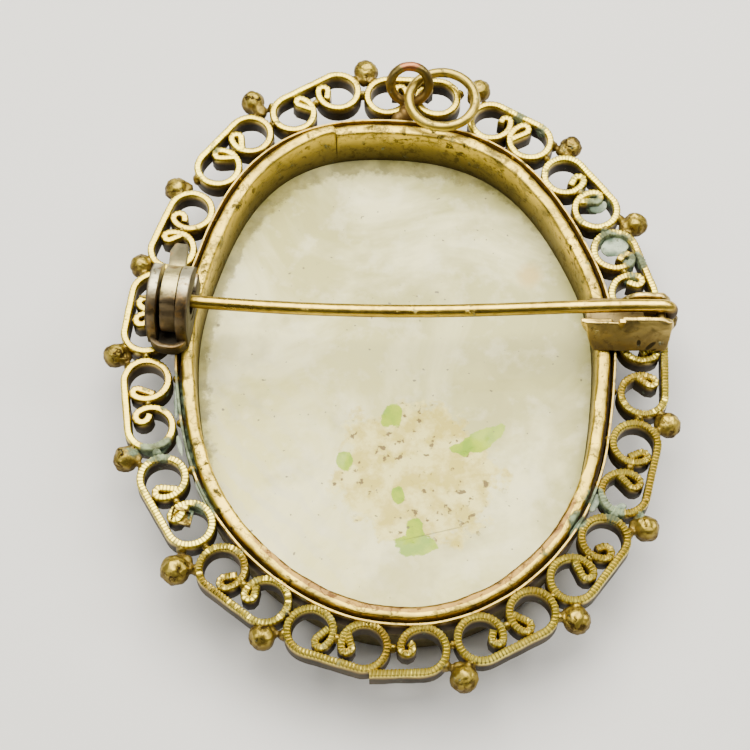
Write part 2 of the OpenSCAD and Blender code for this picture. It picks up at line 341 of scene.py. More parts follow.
def sunk(o, rim, depth):
    # insets the faces that look up and presses them down, in mm
    pick(o, "faces", lambda f: f.normal.z > 0.9)
    bpy.ops.mesh.inset(thickness=rim * mm)
    extruded((0, 0, -depth * mm))


def spun(angle, axis):
    return Matrix.Rotation(radians(angle), 4, axis)


def between(value, low, high):
    return max(0.0, min(1.0, (value - low) / (high - low)))


def applyModifiers(o):
    only(o)
    for m in [m.name for m in o.modifiers]:
        bpy.ops.object.modifier_apply(modifier=m)


def settle(o):
    only(o)
    bpy.ops.object.transform_apply(location=True, rotation=True, scale=True)


def fresh(name):
    # the object just added, named and settled
    o = bpy.context.object
    o.name = name
    settle(o)
    return o


def copied(o):
    twin = o.copy()
    twin.data = o.data.copy()
    bpy.context.scene.collection.objects.link(twin)
    return twin


def discard(o):
    only(o)
    bpy.ops.object.delete()


def joined(parts, name):
    deselect()
    for o in parts:
        o.select_set(True)
    bpy.context.view_layer.objects.active = parts[0]
    if len(parts) > 1:
        bpy.ops.object.join()
    return fresh(name)


def roughen(o, size, strength):
    # pushes the surface in and out by a cloudy pattern; both numbers in mm
    pattern = bpy.data.textures.new("lumps", "CLOUDS")
    pattern.noise_scale = size * mm
    pattern.noise_depth = 2
    push = o.modifiers.new("lumps", "DISPLACE")
    push.texture = pattern
    push.texture_coords = "LOCAL"
    push.strength = strength * mm
    push.mid_level = 0.5
    applyModifiers(o)


def blob(at, size, turned=0.0, rounds=3):
    # a ball of the given half sizes, in mm
    deselect()
    bpy.ops.mesh.primitive_ico_sphere_add(
        subdivisions=rounds, radius=mm, location=toRow(at), rotation=(0, 0, turned), scale=size
    )
    return bpy.context.object


def melted(o, voxel, rounds):
    # remeshed to one skin, in voxels of the given mm, then eased
    melt = o.modifiers.new("melt", "REMESH")
    melt.mode = "VOXEL"
    melt.voxel_size = voxel * mm
    applyModifiers(o)
    ease = o.modifiers.new("ease", "SMOOTH")
    ease.factor = 0.5
    ease.iterations = rounds
    applyModifiers(o)


def dress(o, material, body, replaced=None, edge=40):
    only(o)
    bpy.ops.object.shade_smooth_by_angle(angle=radians(edge))
    o.data.materials.clear()
    o.data.materials.append(material)
    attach(o, body)
    if replaced:
        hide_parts(replaced)


# Scroll border. Each coil: angle, distance from the oval, turn, hook radius, hook turn, straight end
border = {
    "wide": 0.57,
    "tall": 1.6,
    "pitch": 0.26,
    "notch": 0.066,
    "cut": 0.155,  # half of a notch's width, in pitches
    "lip": 0.3,  # how far the notches reach down the sides
    "pinch": 0.84,  # how far the ribbon narrows in a notch
    "round": 0.11,
    "coil": 1.66,
    "closing": 0.07,  # how far the coil tightens towards its hook
}
scrollPairs = (
    ((17.0, 2.35, 305, 0.40, 185, 0.6), (29.2, 2.29, 303, 0.42, 190, 0.5)),
    ((41.3, 2.59, 306, 0.42, 180, 1.2), (51.8, 2.21, 300, 0.40, 180, 0.7)),
    ((62.4, 2.38, 306, 0.40, 175, 1.4), (70.7, 2.23, 300, 0.36, 160, 0.3)),
    ((82.1, 3.12, 285, 0.52, 120, 0.1), (91.9, 2.89, 300, 0.40, 150, 0.2)),
    ((101.3, 3.50, 303, 0.38, 185, 0.8), (110.0, 2.41, 303, 0.34, 185, 1.2)),
    ((119.0, 2.51, 303, 0.40, 195, 1.2), (127.9, 2.34, 306, 0.37, 185, 1.3)),
    ((139.8, 2.31, 303, 0.45, 225, 0.3), (150.8, 2.40, 306, 0.33, 190, 0.9)),
    ((163.7, 2.65, 300, 0.42, 230, 0.1), (174.4, 2.70, 300, 0.42, 230, 0.1)),
    ((187.9, 2.61, 308, 0.34, 170, 1.2), (200.7, 2.64, 300, 0.48, 215, 0.3)),
    ((213.6, 2.59, 306, 0.38, 180, 1.3), (225.0, 2.26, 300, 0.34, 185, 1.1)),
    ((236.3, 2.34, 308, 0.42, 185, 0.9), (246.4, 2.04, 288, 0.36, 190, 0.7)),
    ((256.0, 2.23, 303, 0.42, 180, 1.0), (265.0, 2.15, 294, 0.36, 190, 1.1)),
    ((284.1, 2.21, 300, 0.40, 190, 0.5), (293.6, 2.27, 306, 0.40, 180, 1.1)),
    ((303.2, 2.36, 300, 0.44, 180, 1.2), (312.9, 2.41, 306, 0.46, 205, 0.4)),
    ((323.5, 2.34, 300, 0.45, 185, 1.1), (335.3, 2.36, 308, 0.36, 180, 0.9)),
    ((349.0, 2.56, 300, 0.34, 185, 1.0), (363.8, 2.46, 303, 0.40, 185, 0.6)),
)
singleCoil = (274.6, 2.17, 266, 0.42, 230, 0.1)
singleTail = 3.7
edgeBeads = (
    (10.5, 4.49, 0.88), (34.8, 4.97, 0.90), (56.8, 4.64, 0.84), (75.4, 5.06, 0.90),
    (96.0, 5.66, 0.95), (114.5, 5.30, 0.92), (135.3, 4.40, 0.90), (156.1, 4.42, 0.86),
    (179.8, 4.95, 0.90), (206.4, 4.81, 0.92), (230.7, 4.89, 1.05), (249.6, 4.16, 0.92),
    (279.9, 4.49, 0.95), (298.7, 4.54, 0.95), (318.7, 4.72, 0.92), (342.1, 4.64, 0.90),
)


def onTurn(centre, r, u, v, angle):
    a = radians(angle)
    return centre + (u * cos(a) + v * sin(a)) * r


def coilPath(centre, u, v, row):
    # from the bar's end round the coil, into the hook and its straight end
    turnBy, hook, hookTurn, tail = row[2:]
    big = border["coil"]
    tight = 1 - border["closing"]
    path = []
    for i in range(61):
        part = i / 60
        path.append(onTurn(centre, big * (1 + (tight - 1) * part ** 2), u, v, 90 - turnBy * part))
    end = 90 - turnBy
    eye = onTurn(centre, big * tight - hook, u, v, end)
    path += [onTurn(eye, hook, u, v, end - hookTurn * i / 20) for i in range(1, 21)]
    a = radians(end - hookTurn)
    path.append(path[-1] + (u * sin(a) - v * cos(a)) * max(tail, 0.05))
    return path


def evenly(points, step):
    # the same path with its points at even steps
    along = [0.0]
    for a, b in zip(points, points[1:]):
        along.append(along[-1] + (b - a).length)
    count = round(along[-1] / step)
    out, k = [], 0
    for i in range(count + 1):
        want = along[-1] * i / count
        while k < len(points) - 2 and along[k + 1] < want:
            k += 1
        part = (want - along[k]) / (along[k + 1] - along[k])
        out.append(points[k].lerp(points[k + 1], min(1.0, part)))
    return out, along[-1]


tiny = 1e-6


def span(edge, axis):  # an edge's length along an axis
    return abs(edge.verts[0].co[axis] - edge.verts[1].co[axis])


def milledUnit(notch):
    # one notch's length of ribbon, open at both ends, its milled edge at z = 0
    pitch, wide, tall = (border[k] * mm for k in ("pitch", "wide", "tall"))
    deselect()
    bpy.ops.mesh.primitive_cube_add(size=1, location=(pitch / 2, 0, -tall / 2), scale=(pitch, wide, tall))
    o = fresh("strip")
    editAll(o)
    pick(o, "edges", lambda e: all(v.co.z > -tiny for v in e.verts) and span(e, 1) < tiny / 10)
    bpy.ops.mesh.bevel(offset=border["round"] * mm, segments=2, affect="EDGES")
    for side in (-1, 1, 0):
        bpy.ops.mesh.select_all(action="SELECT")
        bpy.ops.mesh.bisect(plane_co=(pitch * (0.5 + side * border["cut"]), 0, 0), plane_no=(1, 0, 0))
    bpy.ops.mesh.select_all(action="SELECT")
    bpy.ops.mesh.bisect(plane_co=(0, 0, -border["lip"] * mm), plane_no=(0, 0, 1))
    low = -(border["lip"] - 0.01) * mm

    def inNotch(vert):
        return abs(vert.co.x - pitch / 2) < tiny and vert.co.z > low

    pick(o, "edges", lambda e: (
        all(v.co.z < low and tiny < v.co.x < pitch - tiny for v in e.verts) and span(e, 0) < tiny / 10
    ))
    bpy.ops.mesh.dissolve_edges(use_verts=True)
    moved(o, inNotch, (0, 0, -notch))
    bpy.ops.transform.resize(value=(1, border["pinch"], 1), center_override=(pitch / 2, 0, 0))
    pick(o, "faces", lambda f: abs(f.normal.x) > 0.9)
    bpy.ops.mesh.delete(type="FACE")
    leaveEdit()
    groove = o.data.attributes.new("groove", "FLOAT", "POINT")
    for mark, vert in zip(groove.data, o.data.vertices):
        mark.value = min(1.0, notch / border["notch"]) if inNotch(vert) else 0.0
    return o


def ribbonAlong(points, notch, lift):
    # the milled strip repeated to the path's length and bent along it
    path, length = evenly(points, 0.11)
    deselect()
    bpy.ops.curve.primitive_nurbs_path_add()
    guide = bpy.context.object
    guide.data.splines.clear()
    guide.data.twist_mode = "Z_UP"
    line = guide.data.splines.new("POLY")
    line.points.add(len(path) - 1)
    for spot, p in zip(line.points, path):
        spot.co = (*toRow((p.x, p.y, borderTop + lift)), 1.0)
    strip = milledUnit(notch)
    count = round(length / border["pitch"])
    strip.scale.x = length / (count * border["pitch"])
    settle(strip)
    row = strip.modifiers.new("row", "ARRAY")
    row.count = count
    row.use_merge_vertices = True
    row.merge_threshold = 0.002 * mm
    bend = strip.modifiers.new("bend", "CURVE")
    bend.object = guide
    applyModifiers(strip)
    editAll(strip)
    bpy.ops.mesh.fill_holes(sides=0)
    leaveEdit()
    discard(guide)
    return strip


def notchDepth(angle):
    # the milling is crisp along the bottom and right, and worn at the left
    worn = exp(-(((angle % 360) - 185) / 16) ** 2)
    crisp = 0.8 + 0.3 * cos(radians(angle - 300))
    return border["notch"] * crisp * (1 - 0.55 * worn)


strips = []
for first, second in scrollPairs:
    a, b = offOval(first[0], first[1]), offOval(second[0], second[1])
    u = (b - a).normalized()
    v = Vector((u.y, -u.x))
    path = coilPath(a, -u, v, first)[::-1] + coilPath(b, u, v, second)
    deep = notchDepth((first[0] + second[0]) / 2)
    strips.append(ribbonAlong(path, deep, random.uniform(-0.05, 0.05)))
centre, u, v = offOval(singleCoil[0], singleCoil[1]), Vector((1, 0)), Vector((0, -1))
path = [centre + v * (border["coil"] + 0.12) - u * singleTail] + coilPath(centre, u, v, singleCoil)
strips.append(ribbonAlong(path, border["notch"] * 1.1, 0.0))
scrolls = joined(strips, "scroll_ribbons")
roughen(scrolls, 0.9, 0.07)
giltRibbon = giltFinish("gilt ribbon", {
    "hue": (1.0, 0.735, 0.10), "hollow": (borderTop - 0.74, borderTop - 0.14), "darkening": 1.0, "groove": 0.95,
    "tarnish": 0.15, "pits": 0.35, "rough": 0.2, "brown": (0.24, 0.14, 0.026), "dark": (0.022, 0.014, 0.005),
})
dress(scrolls, giltRibbon, "brooch", edge=50)
print("scroll ribbons", len(scrolls.data.polygons))


def ovalRing(name, profile, steps, shape, closed=True):
    # a circle extruded into rings, each then laid where shape puts it, the ends bridged or filled
    deselect()
    bpy.ops.mesh.primitive_circle_add(vertices=steps, radius=1.0)
    o = bpy.context.object
    o.name = name
    editAll(o)
    for k in range(1, len(profile)):
        extruded((0, 0, 1))
    last = len(profile) - 1
    pick(o, "edges", lambda e: span(e, 2) < 0.1 and round(e.verts[0].co.z) in (0, last))
    if closed:
        bpy.ops.mesh.bridge_edge_loops()
    else:
        bpy.ops.mesh.fill_holes(sides=0)
    leaveEdit()
    rows = o.data.attributes.new("row", "FLOAT", "POINT")
    for mark, vert in zip(rows.data, o.data.vertices):
        mark.value = round(vert.co.z)
        distance, height = profile[round(vert.co.z)]
        angle = degrees(atan2(vert.co.y, vert.co.x)) % 360
        vert.co = toRow(shape(angle, distance, height))
    editAll(o)
    bpy.ops.mesh.normals_make_consistent(inside=False)
    leaveEdit()
    return o


bezel = {
    "seam": 103.5,  # angle of the solder seam
    "step": 0.27,  # how far the band steps out beside the seam
    "dented": (3.6, 5.8),  # heights where the unevenness starts and is full
    "profile": (
        (0.0, 0.3), (0.0, 1.6), (0.0, 3.0), (0.0, 4.4), (0.0, 5.5), (-0.01, 5.95), (-0.07, 6.1), (-0.17, 6.17),
        (-0.34, 6.19), (-0.55, 6.2), (-0.75, 6.19), (-0.87, 6.15), (-0.95, 6.05), (-1.0, 5.8), (-1.0, 4.8),
        (-1.0, 3.6), (-1.0, 0.56), (-1.64, 0.5), (-1.72, 0.38), (-1.66, 0.2), (-1.4, 0.03), (-1.05, 0.0),
        (-0.35, 0.0), (-0.12, 0.08),
    ),
}


def bezelShape(angle, distance, height):
    # hand-made band: uneven, stepped at its seam and dented along the top
    turn = (angle - bezel["seam"] + 180) % 360 - 180
    kick = bezel["step"] * exp(-((turn / 10) ** 2)) if turn > 0 else 0.0
    high = between(height, *bezel["dented"])
    a = radians(angle)
    spot = Vector((cos(a) * 9, sin(a) * 9, distance))
    wave = noise.noise(spot) * 0.06 + noise.noise(spot * 3) * 0.03
    drop = 0.05 * noise.noise(spot * 1.6 + Vector((5, 5, 5))) + 0.025 * noise.noise(spot * 5)
    drop = (drop + kick * 0.3) * high * (1 if height > 5.9 else 0.4)
    return *offOval(angle, distance + (kick + wave) * high), height + drop


seamAt = offOval(bezel["seam"], -0.5)
giltBezel = giltFinish("gilt bezel", {
    "hue": (0.80, 0.585, 0.09), "hollow": (2.6, 6.0), "darkening": 0.85, "dark": (0.07, 0.054, 0.015),
    "brown": (0.18, 0.14, 0.038), "pits": 1.0, "pitFrom": 0.54, "tarnish": 0.95, "bumpy": 0.8,
    "veins": 0.6, "veinScale": 900,
    "copper": ((3.5, -17.6, 6.1), 12.0, (1.5, 0.85, 0.5), 1.1), "copperBand": (8.0, 9.2, 11.3, 12.6),
    "copperHue": (0.125, 0.052, 0.026),
    "marks": (((*seamAt, 4.7), 0.1, (9, 0.55, 22), -bezel["seam"]),),
})
band = ovalRing("bezel_band", bezel["profile"], 600, bezelShape)
dress(band, giltBezel, "brooch", "gilt_frame")
lineProfile = (
    (0.27, 4.4), (0.27, 6.02), (0.31, 6.1), (0.43, 6.1), (0.47, 6.02), (0.47, 4.3),
    (-0.3, 4.3), (-0.3, 4.75), (0.2, 4.75),
)
giltLine = giltFinish("gilt ring line", {
    "hue": (0.58, 0.43, 0.11), "hollow": (5.4, 6.1), "darkening": 0.95, "tarnish": 0.9,
    "green": verdigrisSpots + ((-15.2, -3.5, 5.8, 2.6), (-16.0, -8.0, 5.8, 3.2), (-14.6, -12.5, 5.8, 2.6)),
})


def lineShape(angle, distance, height):
    return *offOval(angle, distance + 0.03 * noise.noise(Vector((angle / 7, distance, 1.0)))), height


line = ovalRing("ring_line", lineProfile, 260, lineShape)
dress(line, giltLine, "brooch")
print("bezel and ring line")

# Beads, each slightly lumpy, soldered to the coils on either side
bead = {
    "height": backEdge - 0.9, "swell": 1.05,
    "reach": 2.4,  # the farthest coil that a bead is soldered to
    "root": (0.42, 0.42, 0.6), "rootHeight": borderTop - 0.7,
    "arm": (0.62, 0.5), "armHeight": borderTop - 0.75,
}
coils = sorted([row for pair in scrollPairs for row in pair] + [singleCoil], key=lambda row: row[0] % 360)
centres = [offOval(row[0], row[1]) for row in coils]
parts = []
for angle, distance, radius in edgeBeads:
    at = offOval(angle, distance)
    parts.append(blob((*at, bead["height"]), (radius * bead["swell"],) * 3))
    roots = []
    for c in sorted(centres, key=lambda c: (c - at).length)[:2]:
        root = c + (at - c).normalized() * (border["coil"] + 0.2)
        if (at - root).length < bead["reach"]:
            roots.append(root)
            parts.append(blob((*root, bead["rootHeight"]), bead["root"]))
    inner = sum(roots, Vector((0, 0))) / len(roots)
    away = at - inner
    arm = (away.length * 0.5 + 0.2, *bead["arm"])
    parts.append(blob((*(inner + away * 0.42), bead["armHeight"]), arm, atan2(away.y, away.x)))
beads = joined(parts, "edge_beads")
melted(beads, 0.1, 5)
roughen(beads, 0.7, 0.2)
roughen(beads, 0.42, 0.15)
giltBead = giltFinish("gilt bead", {
    "hue": (0.52, 0.39, 0.06), "hollow": (4.7, 6.2), "darkening": 0.95, "pits": 1.0, "bumpy": 0.9, "tarnish": 0.75,
    "brown": (0.17, 0.11, 0.028), "veins": 1.0, "veinScale": 800, "veinWide": 0.05, "pitFrom": 0.52,
})
dress(beads, giltBead, "brooch", edge=60)
print("beads", len(beads.data.polygons))

# Solder where neighbouring coils and the ring line meet, and a cut end of ribbon folded into a small box
drops = {
    "coils": (4.3, 0.30),  # coils nearer than this are soldered, and the drop's radius
    "line": (2.8, 0.42, 0.26),  # coils nearer the line than this, where the drop is, and its radius
    "height": borderTop - 0.42,
    "scrap": {"location": toRow((-15.35, -13.43, 5.72)), "rotation": (0.15, 0.1, -0.2), "scale": (1.5, 1.1, 0.7)},
}
meetings = []
for i, c in enumerate(centres):
    d = centres[(i + 1) % len(centres)] - c
    apart, r = drops["coils"]
    if d.length < apart:
        meetings.append((*(c + d * 0.5), r))
    apart, out, r = drops["line"]
    if coils[i][1] < apart:
        meetings.append((*offOval(coils[i][0], out), r))
parts = []
for x, y, r in meetings:
    r *= random.uniform(0.85, 1.25)
    parts.append(blob((x, y, drops["height"]), (r, r, r * 1.5), rounds=2))
deselect()
bpy.ops.mesh.primitive_cube_add(size=mm, **drops["scrap"])
parts.append(bpy.context.object)
editAll(parts[-1])
sunk(parts[-1], 0.15, 0.35)
leaveEdit()
solder = joined(parts, "solder_joints")
roughen(solder, 0.5, 0.12)
dress(solder, giltBead, "brooch", edge=80)
print("solder", len(meetings))

# Pale green crust that has grown inside some coils and along the ring line: place, half sizes, turn
crustSpots = (
    (17.02, 9.65, 5.55, 1.15, 0.85, 25), (17.86, 8.72, 5.4, 0.5, 0.7, 0), (18.11, 6.69, 5.5, 0.7, 0.38, 10),
    (15.92, 13.33, 5.5, 0.75, 0.55, 20), (10.14, 21.74, 5.6, 0.6, 0.34, -25), (11.78, 20.48, 5.6, 0.4, 0.3, -35),
    (-16.24, -4.15, 5.7, 0.14, 1.5, 4), (-15.8, -7.71, 5.6, 0.18, 0.9, 14), (-13.89, -11.81, 5.65, 0.17, 1.4, 26),
    (14.39, -12.1, 5.6, 0.3, 0.8, -25), (13.0, -13.93, 5.65, 0.16, 1.1, -35), (16.17, -12.49, 5.6, 0.5, 0.3, 20),
)
parts = [blob((x, y, z), (w, h, 0.16), radians(spin)) for x, y, z, w, h, spin in crustSpots]
film = joined(parts, "green_crust")
roughen(film, 0.5, 0.22)
roughen(film, 0.2, 0.08)
chalk = Finish("green crust")
grain = chalk.noise(2600, 4.0)
chalk.colour = chalk.tones(chalk.noise(520, 4.0), 0.40, 0.58, (0.10, 0.15, 0.10), (0.46, 0.54, 0.40))
chalk.paint(chalk.ramp(grain, 0.6, 0.68) * 0.7, (0.07, 0.08, 0.04))
dress(film, chalk.finished(0.65 + 0.3 * grain, [(grain, 0.6, 0.08)]), "brooch", edge=80)
print("green crust", len(film.data.polygons))

# Bail: fixed eye on its foot, and the jump ring through it
bail = {
    "eyeAt": (1.149, 23.619, borderTop + 1.4), "eyeR": 1.53, "eyeWire": 0.39, "eyeTilt": 60,
    "ringAt": (3.737, 22.353, borderTop + 1.1), "ringR": 2.65, "ringWire": 0.39, "ringTilt": 0,
    "foot": (
        (0.85, 22.0, 5.55, 0.78), (0.25, 21.6, 5.6, 0.55), (1.45, 22.1, 5.6, 0.5),
        (1.15, 22.6, 5.9, 0.5), (0.7, 22.6, 5.75, 0.4),
    ),
}


def wireRing(at, r, wire, tilt, name, around=80):
    deselect()
    bpy.ops.mesh.primitive_torus_add(
        location=toRow(at), rotation=(radians(tilt), 0, 0),
        major_segments=around, minor_segments=20, major_radius=r * mm, minor_radius=wire * mm,
    )
    return fresh(name)


parts = [wireRing(bail["eyeAt"], bail["eyeR"], bail["eyeWire"], bail["eyeTilt"], "eye")]
parts += [blob((x, y, z), (r, r, r)) for x, y, z, r in bail["foot"]]
eye = joined(parts, "bail_eye")
melted(eye, 0.07, 6)
roughen(eye, 0.6, 0.06)
eyeFinish = giltFinish("bail eye gilt", {
    "hue": (0.32, 0.235, 0.07), "hollow": (5.2, 7.6), "darkening": 0.8,
    "copper": ((1.2, 24.7, 9.0), 1.15, (1, 1, 1), 1.2), "copperHue": (0.42, 0.135, 0.07),
})
dress(eye, eyeFinish, "brooch", edge=70)
jump = wireRing(bail["ringAt"], bail["ringR"], bail["ringWire"], bail["ringTilt"], "jump_ring_wire", 110)
roughen(jump, 0.9, 0.03)
ringGilt = giltFinish("jump ring gilt", {
    "hue": (0.66, 0.50, 0.09), "hollow": (6.5, 7.3), "darkening": 0.85, "brown": (0.20, 0.135, 0.04), "bumpy": 0.6,
})
dress(jump, ringGilt, "brooch", "jump_ring", 70)
print("bail")

# Pin: a round wire spun nearly once round the rivet, then drawn out to its point with a bow
pin = {
    "wire": 0.49, "tip": -19.1, "taper": 2.6, "blunt": 0.12,
    "lowX": 0.5, "lowY": 2.05, "hingeY": 2.62, "curve": 0.003,
    "loop": 0.81, "turn": -325,
}
pinZ = backEdge + hinge["rise"]


def pinY(x):
    # eases from the hinge down to the lowest place, then rises like a bent spring to the catch
    if x > pin["lowX"]:
        part = (x - pin["lowX"]) / (hinge["x"] - pin["lowX"])
        return pin["lowY"] + (pin["hingeY"] - pin["lowY"]) * (1 - cos(pi * part)) / 2
    return pin["lowY"] + pin["curve"] * (x - pin["lowX"]) ** 2


rootY = pinY(hinge["x"])
deselect()
bpy.ops.mesh.primitive_circle_add(
    vertices=20, radius=pin["wire"] * mm, location=toRow((hinge["x"], rootY, pinZ)), rotation=(0, pi / 2, 0)
)
wire = fresh("pin_wire")
editAll(wire)
rivetSpot = toRow((hinge["x"], rootY, pinZ - pin["loop"]))
bpy.ops.mesh.spin(steps=44, angle=radians(pin["turn"]), center=rivetSpot, axis=(0, 1, 0))
pick(wire, "verts", lambda w: abs(w.co.x - rivetSpot.x) < tiny / 10 and w.co.z > rivetSpot.z)
xs = [hinge["x"] - (hinge["x"] - pin["tip"]) * k / 70 for k in range(71)]
size = 1.0
for before, x in zip(xs, xs[1:]):
    extruded(((x - before) * mm, (pinY(x) - pinY(before)) * mm, 0))
    near = max(0.0, x - pin["tip"]) / pin["taper"]
    if near < 1:
        want = max(pin["blunt"], near ** 0.6)
        bpy.ops.transform.resize(value=(want / size,) * 3, center_override=toRow((x, pinY(x), pinZ)))
        size = want
bpy.ops.mesh.select_all(action="SELECT")
bpy.ops.mesh.fill_holes(sides=0)
bpy.ops.mesh.normals_make_consistent(inside=False)
leaveEdit()
roughen(wire, 1.3, 0.02)
# painted shade: brown and dark below the wire's upper side
wireFinish = giltFinish("pin wire", {
    "hue": (0.90, 0.64, 0.10), "hollow": (8.2, 8.84), "darkening": 0.95, "pits": 0.35, "rough": 0.2, "green": noGreen,
    "brown": (0.20, 0.11, 0.022), "dark": (0.05, 0.028, 0.007), "bumpy": 0.3,
})
dress(wire, wireFinish, "stem", "pin_stem", 60)
print("pin", len(wire.data.polygons))


# Catch: two cheeks on a cupped foot and the drum that turns between them, all a little askew
catch = {
    "at": (-16.65, 2.87), "yaw": -7, "half": 1.55, "drum": 2.65, "bore": 0.92, "sleeve": 1.32,
    "cheeks": ((-1.55, -0.82), (0.68, 1.55)), "rotor": (-0.5, 0.6),
    "mouth": (8, 1.25),  # direction of the opening on the far side, and its height
    "rim": (2.62, 2.36),  # the turning drum's reach at its top, and where it clears the foot
    "foot": (-3.32, 2.65, 1.35),  # near end, far end, corner
    "footTop": 0.42, "cupHigh": 1.15, "cupWall": 0.33, "cupDeep": 0.85, "cupEnd": -1.9,
    "tab": ((-0.56, 1.7, -0.42), (0.66, 4.3, 0.5), 18),  # two corners from the axle, and its turn
    "tabSteps": (  # from how far out, size, move
        (3.0, (1.06, 1, 0.8), (0, 0, 0.04)), (3.7, (0.94, 1, 0.62), (0.07, 0, 0.16)),
        (4.25, (0.72, 1, 0.7), (0.1, 0, 0.1)),
    ),
}
drumAt = Vector((0, 0, pinZ))


def placed(o):
    # from the catch's own axes to the row
    o.data.transform(Matrix.Translation(toRow((*catch["at"], 0))) @ spun(catch["yaw"], "Z"))
    return o


def tipped(o, angle):
    # turned about the drum's axle
    o.data.transform(Matrix.Translation(drumAt * mm) @ spun(angle, "X") @ Matrix.Translation(-drumAt * mm))
    return o


def cutAway(o, cutter):
    cut = o.modifiers.new("cut", "BOOLEAN")
    cut.operation = "DIFFERENCE"
    cut.solver = "EXACT"
    cut.object = cutter
    applyModifiers(o)
    discard(cutter)


def softened(o, width, segments=2, angle=40):
    soft = o.modifiers.new("soft edges", "BEVEL")
    soft.width = width * mm
    soft.segments = segments
    soft.limit_method = "ANGLE"
    soft.angle_limit = radians(angle)
    applyModifiers(o)
    return o


def lyingCylinder(x0, x1, r, sides=96):
    deselect()
    bpy.ops.mesh.primitive_cylinder_add(
        vertices=sides, radius=r * mm, depth=(x1 - x0) * mm, location=((x0 + x1) / 2 * mm, 0, drumAt.z * mm),
        rotation=(0, pi / 2, 0), end_fill_type="NGON",
    )
    return fresh("cylinder")


def block(low, high, name):
    deselect()
    spans = [(b - a) * mm for a, b in zip(low, high)]
    bpy.ops.mesh.primitive_cube_add(size=1, location=[(a + b) / 2 * mm for a, b in zip(low, high)], scale=spans)
    return fresh(name)


def drumBand(x0, x1, bore, reach):
    # a disc whose rim follows reach(angle), bored for the pin and opened towards the far side
    o = lyingCylinder(x0, x1, catch["drum"])
    for vert in o.data.vertices:
        y, z = vert.co.y, vert.co.z - drumAt.z * mm
        angle = degrees(atan2(z, y)) % 360
        k = reach(angle) / catch["drum"]
        vert.co.y, vert.co.z = y * k, drumAt.z * mm + z * k
    cutAway(o, lyingCylinder(x0 - 0.2, x1 + 0.2, bore, 48))
    direction, tall = catch["mouth"]
    slot = block((x0 - 0.3, 0.2, drumAt.z - tall / 2), (x1 + 0.3, 4.2, drumAt.z + tall / 2), "mouth")
    cutAway(o, tipped(slot, direction))
    return softened(o, 0.07)


def cheekReach(angle):
    # round above, and square down to the foot below
    a = radians(angle)
    if angle <= 180:
        return catch["drum"]
    return min(catch["drum"] / max(tiny, abs(cos(a))), (hinge["rise"] - 0.2) / max(tiny, abs(sin(a))))


def rotorReach(angle):
    # the drum stands out at the top and clears the foot as it turns
    full, cleared = catch["rim"]
    return full + (cleared - full) * between(angle, 122, 138)


def footSlab(high, name):
    low, far, corner = catch["foot"]
    o = block((-catch["half"], low, backEdge + 0.02), (catch["half"], far, backEdge + high), name)
    editAll(o)
    pick(o, "edges", lambda e: span(e, 2) > 0.2 * mm)
    bpy.ops.mesh.bevel(offset=corner * mm, segments=9, affect="EDGES")
    leaveEdit()
    return o


slab = footSlab(catch["footTop"], "foot")
cup = footSlab(catch["cupHigh"], "cup")
editAll(cup)
sunk(cup, catch["cupWall"], catch["cupDeep"])
bpy.ops.mesh.select_all(action="SELECT")
bpy.ops.mesh.bisect(plane_co=(0, catch["cupEnd"] * mm, 0), plane_no=(0, 1, 0), clear_outer=True, use_fill=True)
leaveEdit()
cheeks = [drumBand(*side, catch["sleeve"] + 0.04, cheekReach) for side in catch["cheeks"]]
housing = placed(joined([slab, cup] + cheeks, "catch_cheeks"))
softened(housing, 0.05)
roughen(housing, 0.9, 0.05)
low, high, tilt = catch["tab"]
tab = block(Vector(low) + drumAt, Vector(high) + drumAt, "tab")
editAll(tab)
bpy.ops.mesh.subdivide(number_cuts=3)
for start, size, by in catch["tabSteps"]:
    squeezed(tab, lambda w: w.co.y > start * mm, size, drumAt * mm)
    bpy.ops.transform.translate(value=[v * mm for v in by])
leaveEdit()
softened(tipped(tab, tilt), 0.09, 2, 30)
sleeve = lyingCylinder(-catch["half"] + 0.06, catch["half"] - 0.06, catch["sleeve"], 64)
cutAway(sleeve, lyingCylinder(-2, 2, catch["bore"], 48))
cutAway(sleeve, block((-2, 0.2, pinZ - 0.5), (2, 4.2, pinZ + 0.7), "mouth"))
rotor = placed(joined([drumBand(*catch["rotor"], catch["bore"], rotorReach), tab, sleeve], "catch_drum"))
roughen(rotor, 0.9, 0.05)
print("catch", len(housing.data.polygons), len(rotor.data.polygons))


def eased(node, name):
    # a copy of the machined part, merged, with its edges broken
    o = copied(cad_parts[node])
    for key in list(o.keys()):
        del o[key]
    o.parent = None
    o.name = name
    editAll(o)
    bpy.ops.mesh.remove_doubles(threshold=0.002 * mm)
    bpy.ops.mesh.dissolve_limited(angle_limit=radians(2))
    leaveEdit()
    return softened(o, 0.08)


# Hinge: the bent sheet's ears run out into its foot in one sweep
hingeSheet = {
    "sweep": ((14.5, 20.35), (-0.05, 1.35), 2.25), "voxel": 0.085, "ease": 7, "top": 2.5,
    "corners": ((14.5, -0.4, 1.1, 3.6), (20.35, 0.2, -0.6, 2.0)),  # end, its shift on top, more below, reach
    "bulge": 0.12,
    "burr": ((16.3, -0.22, -0.85), (17.0, 0.05, -0.02)),  # two corners, from the sweep's far side and the top
}
bracket = eased("hinge_bracket", "hinge_plate")
(left, right), (near, far), rise = hingeSheet["sweep"]
sweep = block((left, near, backEdge + 0.1), (right, far, backEdge + rise), "sweep")
editAll(sweep)
moved(sweep, lambda w: w.co.z > (backEdge + 1) * mm and w.co.y < (near + 0.1) * mm, (0, far - near - 0.12, 0))
leaveEdit()
sweep.data.transform(Matrix.Translation(middle * mm))
bracket = joined([bracket, sweep], "hinge_plate")
melted(bracket, hingeSheet["voxel"], hingeSheet["ease"])
top = backEdge + hingeSheet["top"]
